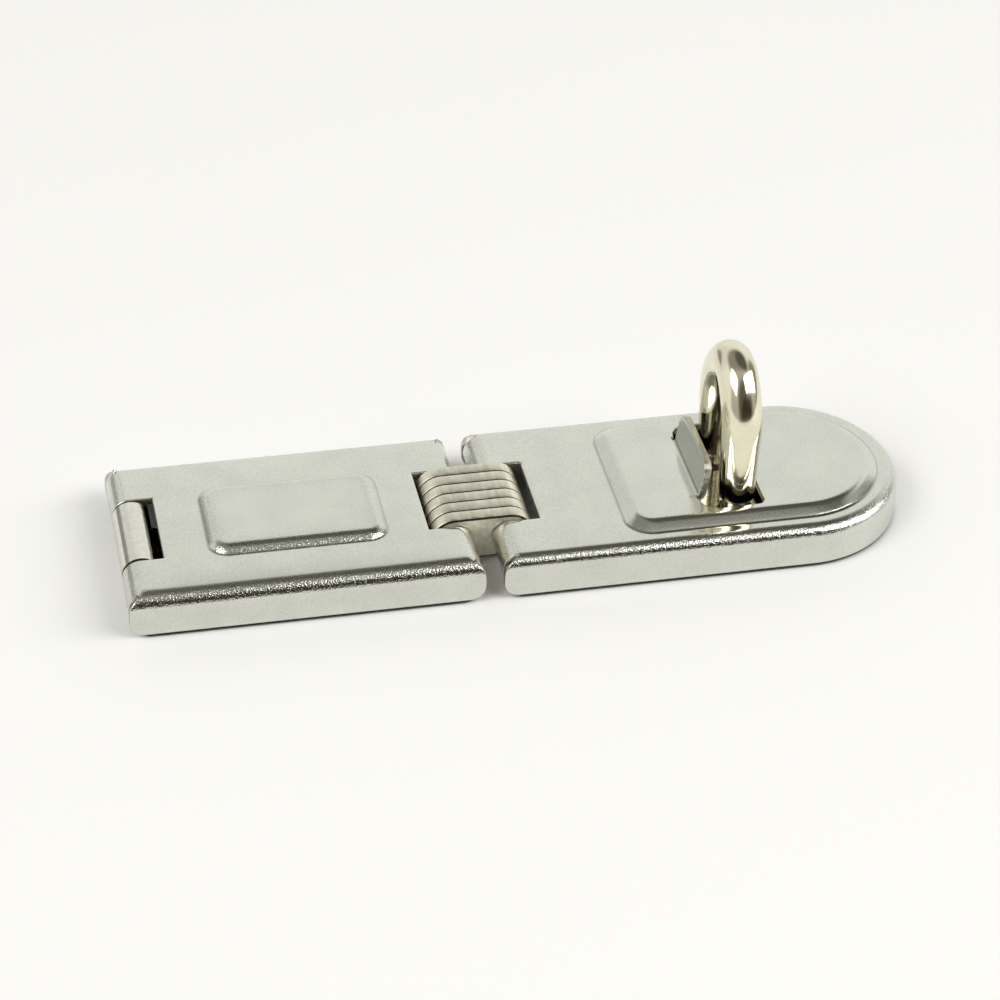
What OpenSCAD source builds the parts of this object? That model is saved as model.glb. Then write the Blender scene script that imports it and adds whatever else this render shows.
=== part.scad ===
// Double-jointed hasp and staple, closed, with the staple standing through the slot.
// Origin: middle of the mounting plane. +X runs towards the staple, +Z away from the door.

/* [Leaves] */
// Length of the closed hasp, end to end
hasp_length = 155; // [150:1:170]
// Width over the side flanges
hasp_width = 44; // [42:1:50]
// Height of the leaves above the mounting plane
leaf_height = 8.7; // [8.5:0.1:9.5]
// Sheet thickness of every pressed part
sheet = 1.5; // [1.3:0.1:1.6]
// Outside radius of the cover leaf's long edge bends
cover_bend = 3.1; // [2.2:0.1:3.2]
// Outside radius of the hasp leaf's edge bend
hasp_bend = 2.5; // [2.2:0.1:3]
// Length of the cover leaf over its two rolled ends
cover_length = 68; // [66:1:72]
// Gap between the two leaves when closed
leaf_gap = 3.5; // [3:0.1:4]
// Corner radius at the bottom of the flange ends
flange_corner = 3.4; // [2.5:0.1:3.6]

/* [Raised panels] */
// Height that the cover panel stands above its leaf
cover_panel_rise = 1.3; // [1:0.1:1.8]
// Height that the hasp panel stands above its leaf
hasp_panel_rise = 1.6; // [1:0.1:1.8]
// Left end of the cover panel, from the end of the leaf
cover_panel_start = 16.7; // [15:0.1:20]
// Length of the cover panel
cover_panel_length = 34.8; // [30:0.1:36]
// Width of the cover panel
cover_panel_width = 22; // [18:0.5:26]
// Width of the slope round the cover panel
cover_panel_bevel = 1.5; // [1.2:0.1:2]
// Left end of the hasp panel, from the end of the closed hasp
hasp_panel_start = 96.6; // [94:0.1:98]
// Flat margin between the hasp panel and the edge of the leaf
hasp_panel_margin = 4; // [3.5:0.1:5]
// Width of the slope round the hasp panel
hasp_panel_bevel = 2; // [1.5:0.1:2.5]

/* [Hinges and links] */
// Diameter of the three hinge pins
pin_diameter = 4.2; // [3.8:0.1:4.4]
// Radial clearance where a part turns on a pin
running_fit = 0.05; // [0.02:0.01:0.1]
// Width of the notch for the base plate's knuckle
base_notch_width = 19; // [16:0.5:22]
// Depth of that notch from the end of the leaf
base_notch_depth = 8.1; // [7.9:0.1:9]
// Width of the windows for the links
window_width = 18.6; // [18.6:0.1:20]
// Number of links side by side
link_count = 6; // [6:1:6]
// Thickness of one link
link_thickness = 2.9; // [2.7:0.05:2.9]
// Half the height of a link
link_radius = 4.8; // [4.4:0.1:4.9]

/* [Slot and flap] */
// Left edge of the slot, from the end of the closed hasp
slot_start = 112.5; // [111:0.1:113]
// Size of the slot along the leaf
slot_length = 12.3; // [12.3:0.1:13]
// Size of the slot across the leaf
slot_width = 28; // [27.5:0.1:29]
// Width of the flap at the slot
flap_width = 19.2; // [16:0.1:20]
// Height of the flap above the raised panel
flap_height = 6.4; // [5:0.1:7]
// Lean of the flap over the slot, in degrees from upright
flap_lean = 13; // [8:1:15]

/* [Staple] */
// Distance of the staple from the end of the closed hasp
staple_distance = 120.5; // [120.4:0.1:120.6]
// Diameter of the bar in the arch
staple_bar = 7.9; // [7:0.1:7.9]
// Diameter of the legs at the slot
staple_leg = 7.1; // [6.5:0.1:7.2]
// Spacing of the two legs, centre to centre
staple_spacing = 16.2; // [15:0.1:16.4]
// Height of the top of the arch above the mounting plane
staple_height = 37.8; // [34:0.1:42]
// How far the centres of the arch's wide side arcs lie past the middle
arch_offset = 3.9; // [3:0.3:4.2]
// Height of the raised pad that carries the staple
pad_height = 7.1; // [6.5:0.1:7.3]

/* [Fixing holes] */
// Diameter of the countersunk screw holes
screw_hole = 5.2; // [4.5:0.1:5.5]
// Diameter of the countersinks at the surface
screw_sink = 7.4; // [6.5:0.1:7.6]
// Hole spacing along the base plate
base_holes_x = 30; // [26:1:32]
// Hole spacing across the base plate
base_holes_y = 24; // [20:1:26]
// Hole spacing along the staple plate
staple_holes_x = 40; // [40:1:42]
// Hole spacing across the staple plate
staple_holes_y = 22; // [18:1:24]

/* [Hidden] */
$fn = 64;
eps = 0.01;

left_end = -hasp_length / 2;
right_end = hasp_length / 2;
panel_top = leaf_height + hasp_panel_rise;

pin_r = pin_diameter / 2;
running_bore_r = pin_r + running_fit;
knuckle_r = running_bore_r + sheet;
axis_z = leaf_height - knuckle_r;
base_axis_x = left_end + knuckle_r;
cover_axis_x = left_end + cover_length - knuckle_r;
hasp_axis_x = left_end + cover_length + leaf_gap + knuckle_r;
hasp_leaf_start = hasp_axis_x - knuckle_r;

flange_inside = hasp_width - 2 * sheet;
curl_width = flange_inside - 0.6;
pin_length = flange_inside - 1;
side_clearance = 0.3;
window_edge_gap = 0.4;
link_pitch = (window_width - 2 * side_clearance) / link_count;
cover_window_x = cover_axis_x - link_radius - window_edge_gap;
hasp_window_x = hasp_axis_x + link_radius + 1;

end_r = hasp_width / 2;
end_x = right_end - end_r;

flap_bend = 0.5;
flap_bend_x = left_end + slot_start - flap_bend;

plate_side_gap = 0.9;
plate_width = flange_inside - 2 * plate_side_gap;
plate_corner = 3;
base_knuckle_width = base_notch_width - 0.8;
base_plate_start = left_end + base_notch_depth + 1.4;
base_plate_end = cover_window_x - 1.8;
base_holes_centre = (base_plate_start + base_plate_end) / 2;

staple_x = left_end + staple_distance;
staple_shoulder = leaf_height + 0.9;
// The arch is two wide side arcs and a crown, which meet on the slope of a 3-4-5 triangle
arch_side_r = staple_spacing / 2 + arch_offset;
arch_crown_r = arch_side_r - arch_offset * 5 / 3;
arch_crown_z = arch_offset * 4 / 3;
neck_r = 2.6;
rivet_r = 3.8;
rivet_depth = 1.5;
staple_plate_start = left_end + 95;
pad_length = 27;
pad_width = 31;
pad_bevel = 1.5;
staple_holes_centre = staple_x;

// ---------- shared shapes ----------

// A flat outline in X and Z, thickened across the hasp
module across(width) {
    rotate([90, 0, 0]) linear_extrude(width, center = true) children();
}

// A flat outline in Y and Z, drawn out along the hasp
module along(length) {
    rotate([90, 0, 90]) linear_extrude(length) children();
}

module rounded_rectangle(length, width, r) {
    square([length, width - 2 * r], center = true);
    square([length - 2 * r, width], center = true);
    for (x = [-1, 1], y = [-1, 1])
        translate([x * (length / 2 - r), y * (width / 2 - r)]) circle(r);
}

// Outline with a flat foot and two rounded top corners, centred on the first axis
module arched_outline(width, height, r) {
    translate([-width / 2, 0]) square([width, height - r]);
    translate([-width / 2 + r, 0]) square([width - 2 * r, height]);
    for (side = [-1, 1]) translate([side * (width / 2 - r), height - r]) circle(r);
}

// Channel section of the leaves: a top with two bent flanges
module channel_outline(bend) {
    difference() {
        arched_outline(hasp_width, leaf_height, bend);
        translate([0, -eps])
            arched_outline(flange_inside, leaf_height - sheet + eps, bend - sheet);
    }
}

// One half of an outline, for turning about its centre line
module right_half() {
    intersection() {
        children();
        translate([0, -1]) square([hasp_width, panel_top + 2]);
    }
}

// Rolled knuckle seen from the side: a tube with a seam where the curl ends
module knuckle_outline(bore_r, seam_start, seam_end) {
    reach = 2 * knuckle_r;
    difference() {
        circle(knuckle_r);
        circle(bore_r);
        polygon([[0, 0], reach * [cos(seam_start), sin(seam_start)],
                 reach * [cos(seam_end), sin(seam_end)]]);
    }
}

// The two curls at one end of a leaf. facing = -1 rolls over to the left, 1 to the right
module leaf_curls(axis_x, facing, bore_r) {
    translate([axis_x, 0, axis_z]) across(curl_width) mirror([facing > 0 ? 1 : 0, 0])
        knuckle_outline(bore_r, 12, 80);
}

// Sloping-sided pad, with cones at its corners
module raised_pad(length, width, r, bevel, height) {
    x_in = length / 2 - r;
    y_in = width / 2 - r;
    for (x = [-1, 1], y = [-1, 1])
        translate([x * x_in, y * y_in, 0]) cylinder(height, r1 = r, r2 = r - bevel);
    across(2 * y_in) pad_slope_outline(length, bevel, height);
    translate([-x_in, 0, 0]) along(2 * x_in) pad_slope_outline(width, bevel, height);
}

module pad_slope_outline(width, bevel, height) {
    polygon([[-width / 2, 0], [width / 2, 0],
             [width / 2 - bevel, height], [-width / 2 + bevel, height]]);
}

// D-shaped pad: rounded corners on the left, a half round on the right
module raised_d(x_start, r_end, corner, bevel, height) {
    corner_x = x_start + corner;
    translate([end_x, 0, 0]) cylinder(height, r1 = r_end, r2 = r_end - bevel, $fn = 96);
    translate([corner_x, 0, 0])
        along(end_x - corner_x) pad_slope_outline(2 * r_end, bevel, height);
    across(2 * (r_end - corner))
        polygon([[x_start, 0], [end_x, 0], [end_x, height], [x_start + bevel, height]]);
    for (side = [-1, 1]) translate([corner_x, side * (r_end - corner), 0])
        cylinder(height, r1 = corner, r2 = corner - bevel);
}

// How far the inside of a pressed slope sits in from its outside
function press_inset(rise, bevel) = sheet * tan(atan2(rise, bevel) / 2);

module countersunk_holes(centre_x, spacing_x, spacing_y, thickness) {
    for (x = [-1, 1], y = [-1, 1])
        translate([centre_x + x * spacing_x / 2, y * spacing_y / 2, 0]) {
            translate([0, 0, -1]) cylinder(thickness + 2, d = screw_hole);
            translate([0, 0, thickness - (screw_sink - screw_hole) / 2])
                cylinder((screw_sink - screw_hole) / 2 + eps, d1 = screw_hole,
                         d2 = screw_sink + 2 * eps);
        }
}

module hinge_pin(axis_x) {
    chamfer = 0.4;
    translate([axis_x, 0, axis_z]) rotate([90, 0, 0]) {
        cylinder(pin_length - 2 * chamfer, r = pin_r, center = true);
        for (turn = [0, 180]) rotate([turn, 0, 0])
            translate([0, 0, pin_length / 2 - chamfer])
                cylinder(chamfer, r1 = pin_r, r2 = pin_r - chamfer);
    }
}

// ---------- base plate and its pin ----------

module base_plate() {
    plate_length = base_plate_end - base_plate_start;
    ramp_low = left_end + base_notch_depth + 1.6;
    ramp_high = base_axis_x + 1;
    knuckle_foot = axis_z - knuckle_r;
    color("silver") {
        difference() {
            translate([base_plate_start + plate_length / 2, 0, 0]) linear_extrude(sheet)
                rounded_rectangle(plate_length, plate_width, plate_corner);
            countersunk_holes(base_holes_centre, base_holes_x, base_holes_y, sheet);
        }
        difference() {
            union() {
                across(base_knuckle_width)
                    polygon([[base_plate_start + 2, 0], [base_plate_start + 2, sheet],
                             [ramp_low, sheet], [ramp_high, knuckle_foot + sheet],
                             [base_axis_x, knuckle_foot + sheet], [base_axis_x, knuckle_foot],
                             [ramp_high, knuckle_foot], [ramp_low, 0]]);
                translate([base_axis_x, 0, axis_z]) across(base_knuckle_width)
                    knuckle_outline(pin_r, -55, -20);
            }
            translate([base_axis_x, 0, axis_z]) across(hasp_width) circle(pin_r);
        }
    }
}

module base_hinge_pin() {
    color("dimgray") hinge_pin(base_axis_x);
}

// ---------- cover leaf ----------

module cover_side_outline() {
    r = knuckle_r;
    translate([left_end + r, 0]) square([cover_length - 2 * r, leaf_height]);
    translate([left_end, flange_corner])
        square([cover_length, leaf_height - r - flange_corner]);
    for (x = [left_end + r, left_end + cover_length - r])
        translate([x, leaf_height - r]) circle(r);
    for (x = [left_end + flange_corner, left_end + cover_length - flange_corner])
        translate([x, flange_corner]) circle(flange_corner);
}

module cover_leaf() {
    panel_x = left_end + cover_panel_start + cover_panel_length / 2;
    inset = press_inset(cover_panel_rise, cover_panel_bevel);
    corner = 4;
    color("gainsboro") difference() {
        union() {
            difference() {
                intersection() {
                    translate([left_end, 0, 0]) along(cover_length) channel_outline(cover_bend);
                    across(hasp_width + 2) cover_side_outline();
                }
                for (x = [left_end - 1, cover_axis_x])
                    translate([x, -flange_inside / 2, -1])
                        cube([knuckle_r + 1, flange_inside, leaf_height + 2]);
            }
            leaf_curls(base_axis_x, -1, running_bore_r);
            leaf_curls(cover_axis_x, 1, pin_r);
            translate([panel_x, 0, leaf_height])
                raised_pad(cover_panel_length, cover_panel_width, corner,
                           cover_panel_bevel, cover_panel_rise);
        }
        translate([panel_x, 0, leaf_height - sheet - eps])
            raised_pad(cover_panel_length - 2 * inset, cover_panel_width - 2 * inset,
                       corner - inset, cover_panel_bevel, cover_panel_rise);
        translate([left_end - 1, -base_notch_width / 2, -1])
            cube([base_notch_depth + 1, base_notch_width, leaf_height + 2]);
        translate([cover_window_x, -window_width / 2, -1])
            cube([hasp_length, window_width, leaf_height + 2]);
        translate([base_axis_x, 0, axis_z]) across(hasp_width - 2 * sheet) circle(running_bore_r);
        translate([cover_axis_x, 0, axis_z]) across(hasp_width - 2 * sheet) circle(pin_r);
    }
}

module cover_link_pin() {
    color("dimgray") hinge_pin(cover_axis_x);
}

// ---------- links ----------

module link_plate(number) {
    middle_x = (cover_axis_x + hasp_axis_x) / 2;
    spacing = hasp_axis_x - cover_axis_x;
    color("rosybrown")
        translate([middle_x, (number - (link_count + 1) / 2) * link_pitch, axis_z])
            across(link_thickness) difference() {
                union() {
                    square([spacing, 2 * link_radius], center = true);
                    for (side = [-1, 1]) translate([side * spacing / 2, 0]) circle(link_radius);
                }
                for (side = [-1, 1]) translate([side * spacing / 2, 0]) circle(running_bore_r);
            }
}

module hasp_link_pin() {
    color("dimgray") hinge_pin(hasp_axis_x);
}

// ---------- hasp leaf ----------

module hasp_shell() {
    straight = end_x - hasp_leaf_start;
    intersection() {
        translate([hasp_leaf_start, 0, 0]) along(straight) channel_outline(hasp_bend);
        across(hasp_width + 2) {
            r = knuckle_r;
            translate([hasp_leaf_start + r, 0]) square([straight, leaf_height]);
            translate([hasp_leaf_start, flange_corner])
                square([straight, leaf_height - r - flange_corner]);
            translate([hasp_leaf_start + r, leaf_height - r]) circle(r);
            translate([hasp_leaf_start + flange_corner, flange_corner]) circle(flange_corner);
        }
    }
    translate([end_x, 0, 0]) rotate([0, 0, -90])
        rotate_extrude(angle = 180, $fn = 128) right_half() channel_outline(hasp_bend);
}

module hasp_slot() {
    left_r = 3;
    right_r = 1.5;
    x_left = left_end + slot_start;
    x_right = x_left + slot_length;
    y_edge = slot_width / 2;
    relief = flap_width / 2 + 0.5;
    translate([flap_bend_x, -relief, -1]) cube([2, 2 * relief, panel_top + 2]);
    translate([0, 0, -1]) linear_extrude(panel_top + 2) {
        translate([x_left + left_r, -y_edge])
            square([slot_length - left_r - right_r, slot_width]);
        translate([x_left, -y_edge + left_r]) square([left_r, slot_width - 2 * left_r]);
        translate([x_right - right_r, -y_edge + right_r])
            square([right_r, slot_width - 2 * right_r]);
        for (side = [-1, 1]) {
            translate([x_left + left_r, side * (y_edge - left_r)]) circle(left_r);
            translate([x_right - right_r, side * (y_edge - right_r)]) circle(right_r);
        }
    }
}

// Side outline of the flap: a foot in the sheet, the bend, then the leaning tab
module flap_outline() {
    outer = flap_bend + sheet;
    reach = 2 * outer;
    translate([-3, -outer - eps]) square([3, sheet + eps]);
    intersection() {
        difference() {
            circle(outer);
            circle(flap_bend);
        }
        polygon([[0, 0], [0, -reach], [reach, -reach],
                 reach * [cos(flap_lean), -sin(flap_lean)]]);
    }
    rotate(-flap_lean) translate([flap_bend, 0]) square([sheet, flap_height + 1]);
}

// The tab turned up from the slot
module hasp_flap() {
    intersection() {
        translate([flap_bend_x, 0, panel_top + flap_bend]) across(flap_width) flap_outline();
        translate([flap_bend_x - 4, 0, 0])
            along(12) arched_outline(flap_width, panel_top + flap_height, 1.5);
    }
}

module hasp_leaf() {
    inset = press_inset(hasp_panel_rise, hasp_panel_bevel);
    panel_start = left_end + hasp_panel_start;
    panel_r = end_r - hasp_panel_margin;
    corner = 5;
    color("gainsboro") {
        difference() {
            union() {
                difference() {
                    hasp_shell();
                    translate([hasp_leaf_start - 1, -flange_inside / 2, -1])
                        cube([knuckle_r + 1, flange_inside, leaf_height + 2]);
                }
                leaf_curls(hasp_axis_x, -1, pin_r);
                translate([0, 0, leaf_height])
                    raised_d(panel_start, panel_r, corner, hasp_panel_bevel,
                             hasp_panel_rise);
            }
            translate([0, 0, leaf_height - sheet - eps])
                raised_d(panel_start + inset, panel_r - inset, corner - inset,
                         hasp_panel_bevel, hasp_panel_rise);
            translate([left_end, -window_width / 2, -1])
                cube([hasp_window_x - left_end, window_width, leaf_height + 2]);
            translate([hasp_axis_x, 0, axis_z]) across(hasp_width - 2 * sheet) circle(pin_r);
            hasp_slot();
        }
        hasp_flap();
    }
}

// ---------- staple ----------

module staple_plate() {
    plate_end_r = plate_width / 2;
    straight = end_x - staple_plate_start;
    color("silver") difference() {
        union() {
            linear_extrude(sheet) {
                translate([staple_plate_start + straight / 2, 0])
                    rounded_rectangle(straight, plate_width, plate_corner);
                translate([end_x - plate_corner, -plate_width / 2])
                    square([plate_corner, plate_width]);
                translate([end_x, 0]) circle(plate_end_r);
            }
            translate([staple_x, 0, 0])
                raised_pad(pad_length, pad_width, 5, pad_bevel, pad_height);
        }
        translate([staple_x, 0, -sheet])
            raised_pad(pad_length - 1.6 * sheet, pad_width - 1.6 * sheet, 5 - 0.8 * sheet,
                       pad_bevel, pad_height);
        for (side = [-1, 1]) translate([staple_x, side * staple_spacing / 2, 0])
            cylinder(pad_height + 1, r = neck_r);
        countersunk_holes(staple_holes_centre, staple_holes_x, staple_holes_y, sheet);
    }
}

// A ring of bar, kept only inside a wedge that opens from its centre
module bar_arc(r, wedge) {
    intersection() {
        rotate_extrude($fn = 96) translate([r, 0]) circle(d = staple_bar);
        linear_extrude(2 * staple_bar, center = true) polygon(concat([[0, 0]], wedge));
    }
}

// The top of the staple: wide arcs up from the legs and a tighter one over the crown
module staple_arch() {
    rotate([90, 0, 90]) {
        for (side = [0, 1]) mirror([side, 0, 0]) translate([-arch_offset, 0])
            bar_arc(arch_side_r, [[30, 0], [30, 40]]);
        translate([0, arch_crown_z]) bar_arc(arch_crown_r, [[30, 40], [-30, 40]]);
    }
}

module staple() {
    arch_z = staple_height - staple_bar / 2 - arch_crown_r - arch_crown_z;
    underside = pad_height - sheet;
    color("wheat") {
        translate([staple_x, 0, arch_z]) staple_arch();
        for (side = [-1, 1]) translate([staple_x, side * staple_spacing / 2, 0]) {
            translate([0, 0, staple_shoulder])
                cylinder(arch_z - staple_shoulder, d1 = staple_leg, d2 = staple_bar);
            translate([0, 0, underside - eps])
                cylinder(staple_shoulder - underside + 2 * eps, r = neck_r);
            translate([0, 0, underside - rivet_depth]) cylinder(rivet_depth, r = rivet_r);
        }
    }
}

base_plate();
base_hinge_pin();
cover_leaf();
cover_link_pin();
link_plate(1);  // link_plate_1
link_plate(2);  // link_plate_2
link_plate(3);  // link_plate_3
link_plate(4);  // link_plate_4
link_plate(5);  // link_plate_5
link_plate(6);  // link_plate_6
hasp_link_pin();
hasp_leaf();
staple_plate();
staple();
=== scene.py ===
"""Looks for the double-jointed hasp and staple, built round the CAD frame.

Shapes are worked out in millimetres in the part's own frame and scaled once, when a piece is made.
"""

import math

import bmesh
import bpy
from mathutils import Matrix, Vector
from mathutils.geometry import tessellate_polygon


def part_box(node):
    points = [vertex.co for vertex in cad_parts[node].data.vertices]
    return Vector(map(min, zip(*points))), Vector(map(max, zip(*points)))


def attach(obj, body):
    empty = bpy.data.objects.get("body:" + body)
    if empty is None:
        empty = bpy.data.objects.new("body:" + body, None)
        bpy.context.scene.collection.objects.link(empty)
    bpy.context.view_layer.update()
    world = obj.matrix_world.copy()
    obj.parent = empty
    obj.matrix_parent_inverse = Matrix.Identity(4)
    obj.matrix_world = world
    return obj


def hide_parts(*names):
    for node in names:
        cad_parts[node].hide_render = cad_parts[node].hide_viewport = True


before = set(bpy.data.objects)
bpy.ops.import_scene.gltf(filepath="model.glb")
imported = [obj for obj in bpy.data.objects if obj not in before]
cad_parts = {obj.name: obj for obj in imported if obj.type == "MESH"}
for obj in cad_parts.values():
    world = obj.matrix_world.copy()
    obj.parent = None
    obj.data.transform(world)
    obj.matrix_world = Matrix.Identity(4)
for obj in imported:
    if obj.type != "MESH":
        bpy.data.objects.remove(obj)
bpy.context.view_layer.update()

MM = 0.001
X, Y, Z = 0, 1, 2
TOLERANCE = 1e-6


# ---------- places, read from the frame ----------


def low(node, axis):
    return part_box(node)[0][axis] / MM


def high(node, axis):
    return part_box(node)[1][axis] / MM


def middle(node, axis):
    return (low(node, axis) + high(node, axis)) / 2


COVER_START = low("cover_leaf", X)
COVER_END = high("cover_leaf", X)
HASP_START = low("hasp_leaf", X)
HASP_END = high("hasp_leaf", X)
HALF_WIDTH = high("cover_leaf", Y)

PIN_Z = middle("cover_link_pin", Z)
BASE_PIN_X = middle("base_hinge_pin", X)
COVER_PIN_X = middle("cover_link_pin", X)
HASP_PIN_X = middle("hasp_link_pin", X)
KNUCKLE_R = COVER_END - COVER_PIN_X
TOP = PIN_Z + KNUCKLE_R
COVER_RISE = high("cover_leaf", Z) - TOP
LINK_R = high("link_plate_1", Z) - PIN_Z
# Centre of the hasp leaf's half-round end
END_X = HASP_END - HALF_WIDTH

SHEET = 1.5
BORE_R = KNUCKLE_R - SHEET
# Outside radius of each leaf's long bends
COVER_BEND = 3.1
HASP_BEND = 2.5
FLANGE_CORNER = 3.4
# Rounding of the sheet's cut edges
RIM_ROUND = 0.2

# How much a flat part of the sheet counts as worked, on a scale up to 1
FLAT_WORKED = 0.12


# ---------- small maths ----------


def steps(start, end, spacing):
    """Evenly spaced values from start to end, both included."""
    count = max(1, round(abs(end - start) / spacing))
    return [start + (end - start) * i / count for i in range(count + 1)]


def chain(*stretches):
    """Joins (start, end, spacing) stretches into one rising list."""
    values = []
    for start, end, spacing in stretches:
        values += [v for v in steps(start, end, spacing) if not values or v > values[-1] + TOLERANCE]
    return values


def inside_rounded_box(x, y, x_low, x_high, y_half, corner):
    """Distance inside the edge of a rounded rectangle; negative outside."""
    dx = abs(x - (x_low + x_high) / 2) - (x_high - x_low) / 2 + corner
    dy = abs(y) - y_half + corner
    outside = math.hypot(max(dx, 0), max(dy, 0))
    return corner - outside - min(max(dx, dy), 0)


def arc_points(cx, cy, radius, start, end, count):
    """Points on an arc between two angles in degrees, both ends included."""
    angles = [math.radians(start + (end - start) * i / count) for i in range(count + 1)]
    return [(cx + radius * math.cos(a), cy + radius * math.sin(a)) for a in angles]


# ---------- raised panels ----------

# The painted shade line where a panel rises out of the flat: its strength, its place and how fast it fades
CREASE_SHADE_PEAK = 0.7
CREASE_SHADE_PLACE = 0.08
CREASE_SHADE_FADE = 0.35

# How far outside a panel's foot the sheet is still worked
WORK_MARGIN = 0.3
# The inside surface follows the outside one this much later, so that the sheet keeps its thickness
INSIDE_LAG = SHEET * 0.4


PROFILE_SPACING = 0.05


class PressedEdge:
    """The side of a raised panel, by distance in from its foot.

    Stations are (distance, slope in degrees). Work is (how much, at what distance, fading over how far).
    """

    def __init__(self, rise, stations, work):
        self.work_peak, self.work_place, self.work_reach = work
        distances = steps(0, stations[-1][0], PROFILE_SPACING)
        slopes = [math.tan(math.radians(self.slope_at(d, stations))) for d in distances]
        heights = [0.0]
        for i in range(1, len(slopes)):
            gap = distances[i] - distances[i - 1]
            heights.append(heights[-1] + gap * (slopes[i] + slopes[i - 1]) / 2)
        self.heights = [h * rise / heights[-1] for h in heights]
        self.gap = distances[1]

    @staticmethod
    def slope_at(distance, stations):
        for (d0, s0), (d1, s1) in zip(stations, stations[1:]):
            if distance <= d1:
                return s0 + (s1 - s0) * (distance - d0) / (d1 - d0)
        return stations[-1][1]

    def height(self, distance):
        place = min(max(distance / self.gap, 0), len(self.heights) - 1)
        i = min(int(place), len(self.heights) - 2)
        return self.heights[i] + (self.heights[i + 1] - self.heights[i]) * (place - i)

    def at(self, inside):
        """(rise outside, rise inside, worked, crease) at a distance inside the panel's foot."""
        worked = FLAT_WORKED
        if inside > -WORK_MARGIN:
            worked += self.work_peak * max(0, 1 - abs(inside - self.work_place) / self.work_reach)
        painted_shade = max(0, CREASE_SHADE_PEAK - abs(inside - CREASE_SHADE_PLACE) / CREASE_SHADE_FADE)
        return self.height(inside), self.height(inside - INSIDE_LAG), worked, painted_shade


# ---------- pressed sheet ----------


class PressedSheet:
    """A sheet in which every point has an outside and an inside place. Patches weld where they meet.

    Each point is marked with how much it was worked and how much painted shade it carries.
    """

    def __init__(self):
        self.outside = []
        self.inside = []
        self.marks = []
        self.faces = []
        self.known = {}

    def point(self, outer, inner, worked, painted_shade=0.0):
        """The number of the point at a place. Places within a thousandth of a millimetre are one."""
        key = tuple(round(c, 3) for c in outer)
        if key not in self.known:
            self.known[key] = len(self.outside)
            self.outside.append(outer)
            self.inside.append(inner)
            self.marks.append((worked, painted_shade))
        return self.known[key]

    def face(self, corners):
        """A face through points, leaving out those that fall together."""
        ring = [c for i, c in enumerate(corners) if c != corners[i - 1]]
        if len(set(ring)) >= 3:
            self.faces.append(ring)

    def patch(self, rows, columns, place, keep=None):
        """A grid of points from a place function, with the cells that keep accepts by their centre."""
        grid = [[self.point(*place(r, c)) for c in columns] for r in rows]
        for i in range(len(rows) - 1):
            for j in range(len(columns) - 1):
                centre = ((rows[i] + rows[i + 1]) / 2, (columns[j] + columns[j + 1]) / 2)
                if keep is None or keep(*centre):
                    self.face([grid[i][j], grid[i + 1][j], grid[i + 1][j + 1], grid[i][j + 1]])

    def flat_with_hole(self, border, ring, hole, place):
        """Fills between a border and a hole, with a clean band of quads along the hole."""
        loops = [[self.point(*place(x, y)) for x, y in loop] for loop in (border, ring, hole)]
        flat = [[Vector((x, y, 0)) for x, y in loop] for loop in (border, ring)]
        ids = loops[0] + loops[1]
        for triangle in tessellate_polygon(flat):
            self.face([ids[i] for i in triangle])
        count = len(hole)
        for i in range(count):
            j = (i + 1) % count
            self.face([loops[1][i], loops[1][j], loops[2][j], loops[2][i]])

    def build(self, name):
        """Joins the two surfaces with cut edges all round, and rounds those edges."""
        count = len(self.outside)
        mesh = bmesh.new()
        for place in self.outside + self.inside:
            mesh.verts.new([c * MM for c in place])
        mesh.verts.ensure_lookup_table()
        worked = mesh.verts.layers.float.new("worked")
        painted_shade = mesh.verts.layers.float.new("painted_shade")
        sheared = mesh.faces.layers.float.new("sheared")
        for i, values in enumerate(self.marks):
            for vert in (mesh.verts[i], mesh.verts[i + count]):
                vert[worked], vert[painted_shade] = values
        used = {}
        for ring in self.faces:
            for i, a in enumerate(ring):
                b = ring[(i + 1) % len(ring)]
                used.setdefault((min(a, b), max(a, b)), []).append((a, b))
            mesh.faces.new([mesh.verts[i] for i in ring])
            mesh.faces.new([mesh.verts[i + count] for i in reversed(ring)])
        rims = []
        for sides in used.values():
            if len(sides) == 1:
                a, b = sides[0]
                corners = [mesh.verts[i] for i in (b, a, a + count, b + count)]
                mesh.faces.new(corners)[sheared] = 1.0
                rims += [corners[:2], corners[2:]]
        edges = [mesh.edges.get(pair) for pair in rims]
        bmesh.ops.delete(mesh, geom=[v for v in mesh.verts if not v.link_faces], context="VERTS")
        bmesh.ops.recalc_face_normals(mesh, faces=mesh.faces)
        bmesh.ops.bevel(
            mesh,
            geom=[e for e in edges if e and e.is_valid],
            offset=RIM_ROUND * MM,
            offset_type="OFFSET",
            segments=3,
            profile=0.5,
            affect="EDGES",
            clamp_overlap=False,
        )
        return finish_mesh(name, mesh)


def finish_mesh(name, mesh, sharp_degrees=50):
    """Makes an object of a mesh, shaded smooth up to an angle."""
    data = bpy.data.meshes.new(name)
    mesh.to_mesh(data)
    mesh.free()
    obj = bpy.data.objects.new(name, data)
    bpy.context.scene.collection.objects.link(obj)
    data.shade_smooth()
    data.set_sharp_from_angle(angle=math.radians(sharp_degrees))
    return obj


# ---------- the channel section shared by both leaves ----------

# The flat sags over this distance before the bend, and the sag fades out this far from the pins
SAG_RUN = 4.5
SAG_FADE = 8
BEND_STEPS = 14
FLANGE_SPACING = 0.9


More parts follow.
